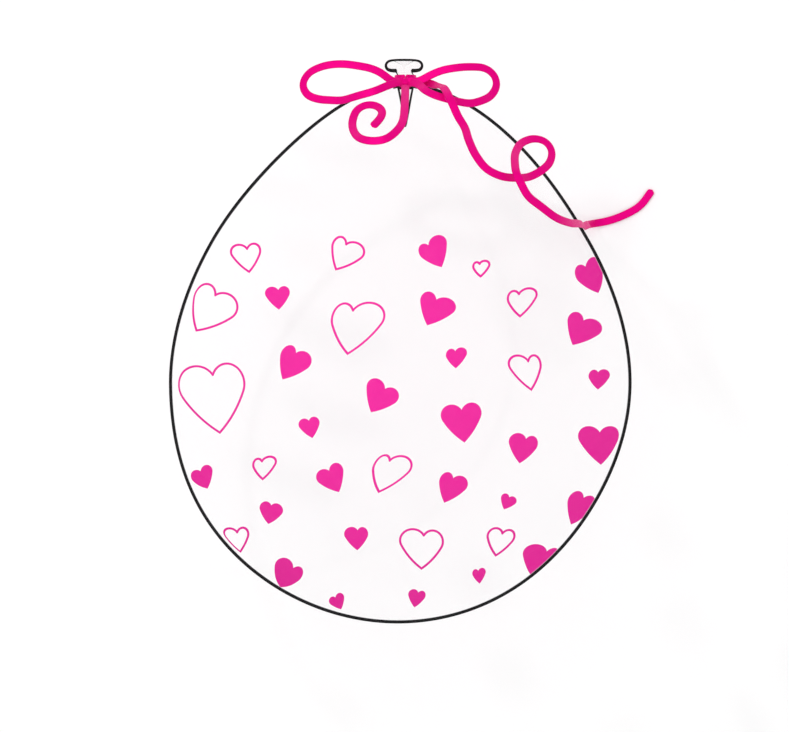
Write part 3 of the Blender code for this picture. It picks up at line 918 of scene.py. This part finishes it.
def mix_values(tree, share, low, high, colour=False):
    """A blend of two numbers or two colours by a share."""
    node = tree.nodes.new("ShaderNodeMix")
    node.data_type = "RGBA" if colour else "FLOAT"
    slots = (6, 7) if colour else (2, 3)
    connect(tree, share, node.inputs[0])
    connect(tree, low, node.inputs[slots[0]])
    connect(tree, high, node.inputs[slots[1]])
    return node.outputs[2 if colour else 0]


def separated(tree, vector):
    """A Separate XYZ node fed with a vector."""
    node = tree.nodes.new("ShaderNodeSeparateXYZ")
    tree.links.new(vector, node.inputs[0])
    return node


def joined(tree, x, y):
    """A vector socket made of an x and a y."""
    node = tree.nodes.new("ShaderNodeCombineXYZ")
    connect(tree, x, node.inputs["X"])
    connect(tree, y, node.inputs["Y"])
    return node.outputs[0]


def noise(tree, place, scale, detail):
    """A noise value at a place."""
    node = tree.nodes.new("ShaderNodeTexNoise")
    connect(tree, place, node.inputs["Vector"])
    node.inputs["Scale"].default_value = scale
    node.inputs["Detail"].default_value = detail
    return node.outputs["Fac"]


def heart_print_group():
    """Ink mask from heart coordinates: the signed distance of heart_distance, then a line.

    Every distance is divided by how fast it grows in the drawn, slanted heart, so that a line
    is equally wide all round.
    """
    tree, given, out = group_tree(
        "Heart print",
        [("Place", "NodeSocketVector", None), ("Line", "NodeSocketVector", None),
         ("Halves", "NodeSocketVector", None), ("Softness", "NodeSocketFloat", 0.008)],
        [("Ink", "NodeSocketFloat")],
    )
    parts, line, halves = (
        separated(tree, given.outputs[name]) for name in ("Place", "Line", "Halves")
    )
    wider = math_node(tree, "SIGN", parts.outputs["X"])
    wider = math_node(tree, "MULTIPLY_ADD", wider, halves.outputs["X"], 1.0)
    u = math_node(tree, "ABSOLUTE", parts.outputs["X"])
    v = math_node(tree, "MULTIPLY_ADD", u, halves.outputs["Y"], parts.outputs["Y"])
    u = math_node(tree, "MULTIPLY", u, wider)
    here = joined(tree, u, v)
    growth = joined(tree, wider, math_node(tree, "DIVIDE", 1.0, line.outputs["Y"]))

    def arc(centre, radius):
        """Distance to a circle, divided by how fast it grows."""
        spoke = vector_node(tree, "SUBTRACT", here, centre)
        reach = vector_node(tree, "LENGTH", spoke)
        grown = vector_node(tree, "LENGTH", vector_node(tree, "MULTIPLY", spoke, growth))
        past = math_node(tree, "SUBTRACT", reach, radius)
        return math_node(tree, "DIVIDE", math_node(tree, "MULTIPLY", past, reach), grown)

    lobe = arc((LOBE_X, LOBE_Y, 0.0), LOBE_RADIUS)
    side = arc((SIDE_X, SIDE_Y, 0.0), SIDE_RADIUS)
    notch = vector_node(tree, "DISTANCE", here, (0.0, NOTCH_Y, 0.0))
    inside = math_node(tree, "MAXIMUM", side, math_node(tree, "MULTIPLY", notch, -1.0))
    slope = math_node(tree, "MULTIPLY_ADD", v, LOBE_X, -LOBE_X * NOTCH_Y)
    slope = math_node(tree, "MULTIPLY_ADD", u, NOTCH_Y - LOBE_Y, slope)
    above = math_node(tree, "GREATER_THAN", slope, 0.0)
    away = mix_values(tree, above, inside, lobe)
    outlined = math_node(tree, "GREATER_THAN", line.outputs["X"], 0.0001)
    off = mix_values(tree, outlined, away, math_node(tree, "ABSOLUTE", away))
    left = math_node(tree, "SUBTRACT", line.outputs["X"], off)
    share = math_node(tree, "DIVIDE", left, given.outputs["Softness"])
    tree.links.new(math_node(tree, "ADD", share, 0.5, clamp=True), out.inputs["Ink"])
    return tree


def satin_group():
    """Satin weave from the ribbon's place: ribs across, long silky streaks and a selvedge.

    Ribs are a sine along the ribbon, streaks are noise stretched along it, and the selvedge
    is a narrow band next to both edges.
    """
    tree, given, out = group_tree(
        "Satin weave",
        [("Place", "NodeSocketVector", None), ("Half Width", "NodeSocketFloat", 0.004),
         ("Rib Spacing", "NodeSocketFloat", 0.0005)],
        [("Height", "NodeSocketFloat"), ("Streaks", "NodeSocketFloat"),
         ("Selvedge", "NodeSocketFloat")],
    )
    parts = separated(tree, given.outputs["Place"])
    along = math_node(tree, "DIVIDE", parts.outputs["Y"], given.outputs["Rib Spacing"])
    ribs = math_node(tree, "SINE", math_node(tree, "MULTIPLY", along, 2 * math.pi))
    selvedge_start, selvedge_reach, selvedge_height = 0.80, 0.08, 0.8
    rib_height, streaks_across, streaks_along = 0.25, 2600.0, 160.0
    scale = (streaks_across, streaks_along, 1.0)
    stretched = vector_node(tree, "MULTIPLY", given.outputs["Place"], scale)
    streaks = noise(tree, stretched, 1.0, 3)
    off = math_node(tree, "ABSOLUTE", parts.outputs["X"])
    edge = math_node(tree, "DIVIDE", off, given.outputs["Half Width"])
    edge = math_node(tree, "SUBTRACT", edge, selvedge_start)
    edge = math_node(tree, "DIVIDE", edge, selvedge_reach, clamp=True)
    height = math_node(tree, "MULTIPLY_ADD", ribs, rib_height, streaks)
    height = math_node(tree, "MULTIPLY_ADD", edge, selvedge_height, height)
    tree.links.new(height, out.inputs["Height"])
    tree.links.new(streaks, out.inputs["Streaks"])
    tree.links.new(edge, out.inputs["Selvedge"])
    return tree


def place_group(tree, group, **given):
    """The outputs of a node group placed in a tree with its own values."""
    node = tree.nodes.new("ShaderNodeGroup")
    node.node_tree = group
    for label, value in given.items():
        connect(tree, value, node.inputs[label.replace("_", " ")])
    return node.outputs


def new_material(name):
    """A material with its node tree and its Principled shader."""
    material = bpy.data.materials.new(name)
    material.use_nodes = True
    tree = material.node_tree
    return material, tree, tree.nodes["Principled BSDF"]


def uv_place(tree, name):
    """A UV map's place as a socket."""
    node = tree.nodes.new("ShaderNodeUVMap")
    node.uv_map = name
    return node.outputs["UV"]


def attribute(tree, name):
    """A number kept on the mesh's points as a socket."""
    node = tree.nodes.new("ShaderNodeAttribute")
    node.attribute_name = name
    return node.outputs["Fac"]


def latex_material(looks):
    """Clear latex with pink ink: see-through face on, and along its edge and its crease denser
    and painted near black, painted shade where the film turns edge on and at the crease's edges.

    The edge is where the Fresnel reflectance times the skin's own gain passes one.
    """
    material, tree, shader = new_material("printed clear latex")
    place = tree.nodes.new("ShaderNodeTexCoord").outputs["Object"]
    ink = place_group(
        tree, heart_print_group(), Place=uv_place(tree, "heart place"),
        Line=uv_place(tree, "heart line"), Halves=uv_place(tree, "heart halves"),
    )["Ink"]
    gathered = attribute(tree, "gathered")
    # Painted shade along the silhouette: where the rim's Fresnel times the gain passes one
    slant = tree.nodes.new("ShaderNodeLayerWeight")
    slant.inputs["Blend"].default_value = RIM_BLEND
    edge = math_node(tree, "MULTIPLY", slant.outputs["Fresnel"], attribute(tree, "edge gain"))
    edge = math_node(tree, "SUBTRACT", edge, 1.0)
    painted_rim_softness, painted_crease_softness = 0.22, 0.0005
    edge = math_node(tree, "DIVIDE", edge, painted_rim_softness, clamp=True)
    inside = tree.nodes.new("ShaderNodeNewGeometry").outputs["Backfacing"]
    outside = math_node(tree, "SUBTRACT", 1.0, inside)
    edge = math_node(tree, "MULTIPLY", edge, outside)
    # Painted shade along both edges of the top crease, seen from outside
    crease = math_node(tree, "ABSOLUTE", attribute(tree, "crease line"))
    crease = math_node(tree, "SUBTRACT", looks.painted_crease_width / 2, crease)
    crease = math_node(tree, "DIVIDE", crease, painted_crease_softness)
    crease = math_node(tree, "ADD", crease, 0.5, clamp=True)
    crease = math_node(tree, "MULTIPLY", crease, outside)
    # dark is the painted shade of the edge and the crease together
    dark = math_node(tree, "MAXIMUM", edge, crease)
    clear, hazy, solid = 0.02, 0.10, 0.985
    bloom = noise(tree, vector_node(tree, "MULTIPLY", place, (9.0, 5.0, 9.0)), 1.0, 3)
    face_on = math_node(tree, "MULTIPLY_ADD", bloom, clear, clear)
    face_on = mix_values(tree, gathered, face_on, hazy)
    # Where dark, the film turns nearly opaque and its haze colour gives way to the near-black
    # painted shade
    film = mix_values(tree, dark, face_on, solid)
    haze_and_painted_shade = mix_values(tree, dark, (*looks.film, 1.0), (*looks.edge, 1.0), colour=True)
    mottle = noise(tree, place, 130.0, 2)
    darker = (*(0.94 * np.array(looks.ink)), 1.0)
    ink_tone = mix_values(tree, mottle, darker, (*looks.ink, 1.0), colour=True)
    # The ink is hidden under the painted shade of the edge
    ink = math_node(tree, "MULTIPLY", ink, math_node(tree, "SUBTRACT", 1.0, edge))
    connect(tree, mix_values(tree, ink, haze_and_painted_shade, ink_tone, colour=True), shader.inputs["Base Color"])
    connect(tree, mix_values(tree, ink, film, solid), shader.inputs["Alpha"])
    glossy, matt, printed = 0.07, 1.0, 0.32
    rough = mix_values(tree, dark, glossy, matt)
    connect(tree, mix_values(tree, ink, rough, printed), shader.inputs["Roughness"])
    shader.inputs["Specular IOR Level"].default_value = 0.0
    return material


def satin_material(r):
    """Pink satin: woven sheen that runs along the ribbon."""
    material, tree, shader = new_material("pink satin ribbon")
    place = uv_place(tree, "ribbon place")
    weave = place_group(tree, satin_group(), Place=place, Half_Width=r.width / 2)
    dark = np.array(r.colour) * 0.86
    light = np.minimum(np.array(r.colour) * 1.08, 1.0)
    tone = mix_values(tree, weave["Streaks"], (*dark, 1.0), (*light, 1.0), colour=True)
    edge = (*(np.array(r.colour) * 0.78), 1.0)
    share = math_node(tree, "MULTIPLY", weave["Selvedge"], 0.55)
    connect(tree, mix_values(tree, share, tone, edge, colour=True), shader.inputs["Base Color"])
    rough = mix_values(tree, weave["Streaks"], 0.50, 0.30)
    connect(tree, rough, shader.inputs["Roughness"])
    bump = tree.nodes.new("ShaderNodeBump")
    bump.inputs["Strength"].default_value = 0.35
    bump.inputs["Distance"].default_value = 0.0002
    connect(tree, weave["Height"], bump.inputs["Height"])
    connect(tree, bump.outputs[0], shader.inputs["Normal"])
    shader.inputs["Metallic"].default_value = 0.35
    shader.inputs["IOR"].default_value = 1.12
    return material


def shared_satin(r):
    """The satin of the bow and the tails, made the first time it is asked for."""
    return bpy.data.materials.get("pink satin ribbon") or satin_material(r)


# operators


class BALLOON_OT_stage(bpy.types.Operator):
    """Camera over the balloon, plain pale floor and soft lamps"""

    bl_idname = "balloon.stage"
    bl_label = "Make Stage"

    def execute(self, context):
        s = context.scene.balloon_sizes
        stage = context.scene.balloon_stage
        data = bpy.data.cameras.new("camera over the balloon")
        data.sensor_width = 36.0
        data.lens = 180.0
        camera = bpy.data.objects.new("camera over the balloon", data)
        camera.location = (stage.camera_x, stage.camera_y, axis_height(s) + stage.camera_height)
        context.scene.collection.objects.link(camera)
        context.scene.camera = camera
        half, drop = stage.floor_size / 2, 0.0004
        corners = [(-half, -half, -drop), (half, -half, -drop),
                   (half, half, -drop), (-half, half, -drop)]
        floor = mesh_object("floor", corners, [[0, 1, 2, 3]])
        material, _, shader = new_material("pale floor")
        shader.inputs["Base Color"].default_value = (0.95, 0.95, 0.95, 1.0)
        shader.inputs["Roughness"].default_value = 0.9
        shader.inputs["Specular IOR Level"].default_value = 0.1
        floor.data.materials.append(material)
        self.lamps(context)
        context.scene.view_settings.view_transform = "Standard"
        return {"FINISHED"}

    def lamps(self, context):
        """A soft white room, one big softbox overhead and two small lamps for the glints."""
        world = bpy.data.worlds.new("soft white room")
        world.use_nodes = True
        background = world.node_tree.nodes["Background"]
        background.inputs["Color"].default_value = (1.0, 1.0, 1.0, 1.0)
        background.inputs["Strength"].default_value = 0.82
        context.scene.world = world
        lamps = (
            ("overhead softbox", (-0.9, 0.8, 4.2), 3.6, 38.0),
            ("window glint", (-0.85, 1.15, 1.9), 0.16, 6.0),
            ("side glint", (1.3, -0.5, 1.7), 0.12, 2.5),
        )
        middle = Vector((0.0, 0.03, 0.2))
        for name, place, size, power in lamps:
            data = bpy.data.lights.new(name, "AREA")
            data.size = size
            data.energy = power
            lamp = bpy.data.objects.new(name, data)
            lamp.location = place
            aim = middle - lamp.location
            lamp.rotation_euler = aim.to_track_quat("-Z", "Y").to_euler()
            context.scene.collection.objects.link(lamp)


class BALLOON_OT_tails(bpy.types.Operator):
    """The two free ends of the ribbon, as flat satin on their routes"""

    bl_idname = "balloon.tails"
    bl_label = "Make Ribbon Tails"

    def execute(self, context):
        s = context.scene.balloon_sizes
        r = context.scene.balloon_ribbon
        satin = shared_satin(r)
        tails = (
            ("satin_tail_curled", TAIL_CURLED, "ribbon_tail_curled", 0.253),
            ("satin_tail_long", TAIL_LONG, "ribbon_tail_long", 0.841),
        )
        for name, route, node, length in tails:
            line, face = lay_ribbon(s, r, smooth_route(s, r, route))
            strip = ribbon_strip(r, line, face, r.width, round_end=True)
            tail = ribbon_object(name, [strip])
            tail.data.materials.append(satin)
            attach(tail, "root")
            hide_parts(node)
        return {"FINISHED"}


class BALLOON_OT_bow(bpy.types.Operator):
    """The ribbon's turn round the neck, its knot and its two loops"""

    bl_idname = "balloon.bow"
    bl_label = "Make Bow"

    def execute(self, context):
        s = context.scene.balloon_sizes
        r = context.scene.balloon_ribbon
        strips = []
        for route in (LOOP_LEFT, LOOP_RIGHT):
            line, face = lay_ribbon(s, r, smooth_route(s, r, route))
            strips.append(ribbon_strip(r, line, face, r.width))
        strips += self.wraps(s, r)
        strips.append(self.knot(s, r))
        bow = ribbon_object("satin_bow", strips)
        bow.data.materials.append(shared_satin(r))
        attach(bow, "root")
        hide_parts("ribbon_bow")
        return {"FINISHED"}

    def wraps(self, s, r):
        """Two bands round the neck, one over the other, as circles closed under the knot."""
        tie = tie_point(s, r)
        count = 97
        turn = np.linspace(0.0, 2 * math.pi, count)
        out = np.column_stack([np.sin(turn), np.zeros(count), np.cos(turn)])
        centre = np.array([tie[0], tie[1], axis_height(s)])
        bands = []
        for lift, along in ((0.0006, -0.0002), (0.0012, 0.0004)):
            radius = s.neck_radius + r.clearance + lift
            line = centre + out * radius + [0.0, along, 0.0]
            bands.append(ribbon_strip(r, line, out, BAND_WIDTH))
        return bands

    def knot(self, s, r):
        """The knot: a pinched barrel over the tie, creased by cosines round its middle."""
        tie = tie_point(s, r)
        count, sides = 41, 36
        x = -KNOT_HALF_LENGTH * np.cos(np.linspace(0.0, math.pi, count))
        shape = np.sqrt(np.clip(1.0 - (x / KNOT_HALF_LENGTH) ** 2, 0.0, 1.0))
        line = tie + np.column_stack([x, np.zeros(count), np.full(count, KNOT_LIFT)])
        turn = ring_angles(sides)
        crease = KNOT_CREASE_DEPTH * (1.0 + np.cos(KNOT_CREASES * turn + 0.6))
        crease = 1.0 - crease[None, :] * shape[:, None]
        wide = KNOT_HALF_DEPTH * shape[:, None] * np.cos(turn) * crease
        tall = KNOT_HALF_HEIGHT * shape[:, None] * np.sin(turn) * crease
        rings = line[:, None, :] + np.stack([0 * wide, wide, tall], axis=-1)
        points = lean_back(s, r, rings.reshape(-1, 3)).reshape(rings.shape)
        weave = KNOT_WEAVE_REACH * np.cos(2 * turn)
        place = np.stack([np.broadcast_to(weave, (count, sides)),
                          np.broadcast_to(x[:, None], (count, sides))], axis=-1)
        place = np.vstack([place[1:-1].reshape(-1, 2), place[0, :1], place[-1, :1]])
        return *lofted(points[1:-1], points[0, 0], points[-1, 0]), place


class BALLOON_OT_skin(bpy.types.Operator):
    """The clear latex balloon with its printed hearts, gathered neck and rolled lip"""

    bl_idname = "balloon.skin"
    bl_label = "Make Balloon"

    def execute(self, context):
        s = context.scene.balloon_sizes
        looks = context.scene.balloon_print
        grid, radius, y = skin_grid(s)
        count, sides = grid.shape[:2]
        skin = mesh_object("latex_balloon", *lofted(grid[1:-1], grid[0, 0], grid[-1, 0]))
        from_tie = np.hypot(np.maximum(radius - s.neck_radius, 0.0), s.shoulder_length - y)
        gathered = np.where(y > s.shoulder_length, 1.0, fade(from_tie, 0.0, HAZE_REACH))
        # The haze at the tie, and the masks that place the painted shade along the silhouette and
        # along the crease's edges
        masks = (
            ("gathered", np.broadcast_to(gathered[:, None], (count, sides))),
            ("edge gain", painted_rim_gain(s, looks, grid, radius, y)),
            ("crease line", crease_line(s, grid, radius, y)),
        )
        for name, mask in masks:
            layer = skin.data.attributes.new(name, "FLOAT", "POINT")
            values = np.concatenate([mask[1:-1].ravel(), mask[0, :1], mask[-1, :1]])
            layer.data.foreach_set("value", values.astype(np.float32))
        maps = heart_places(s, context.scene.balloon_stage, looks, skin)
        for name, values in zip(("heart place", "heart line", "heart halves"), maps):
            set_uv(skin, name, values)
        skin.data.materials.append(latex_material(looks))
        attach(skin, "root")
        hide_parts("balloon")
        return {"FINISHED"}


class BALLOON_PT_sidebar(bpy.types.Panel):
    """Lists the sizes, the looks and the steps that build the balloon"""

    bl_idname = "BALLOON_PT_sidebar"
    bl_label = "Printed Balloon"
    bl_space_type = "VIEW_3D"
    bl_region_type = "UI"
    bl_category = "Balloon"

    def draw(self, context):
        layout = self.layout
        for group in GROUPS:
            box = layout.box()
            box.label(text=group.__doc__)
            for name in group.__annotations__:
                box.prop(getattr(context.scene, GROUPS[group]), name)
        for step in STEPS:
            layout.operator(step.bl_idname)


GROUPS = {
    BalloonSizes: "balloon_sizes",
    PrintLooks: "balloon_print",
    RibbonSizes: "balloon_ribbon",
    StageSizes: "balloon_stage",
}
STEPS = (BALLOON_OT_stage, BALLOON_OT_tails, BALLOON_OT_bow, BALLOON_OT_skin)


def register():
    """Makes Blender know the classes, and gives every scene their sizes and looks."""
    for cls in (*GROUPS, *STEPS, BALLOON_PT_sidebar):
        bpy.utils.register_class(cls)
    for group, name in GROUPS.items():
        setattr(bpy.types.Scene, name, PointerProperty(type=group))


def unregister():
    """Takes back all that register gave."""
    for name in GROUPS.values():
        delattr(bpy.types.Scene, name)
    for cls in reversed((*GROUPS, *STEPS, BALLOON_PT_sidebar)):
        bpy.utils.unregister_class(cls)


def main():
    register()
    bpy.ops.balloon.stage()
    bpy.ops.balloon.tails()
    bpy.ops.balloon.bow()
    bpy.ops.balloon.skin()


if __name__ == "__main__":
    main()
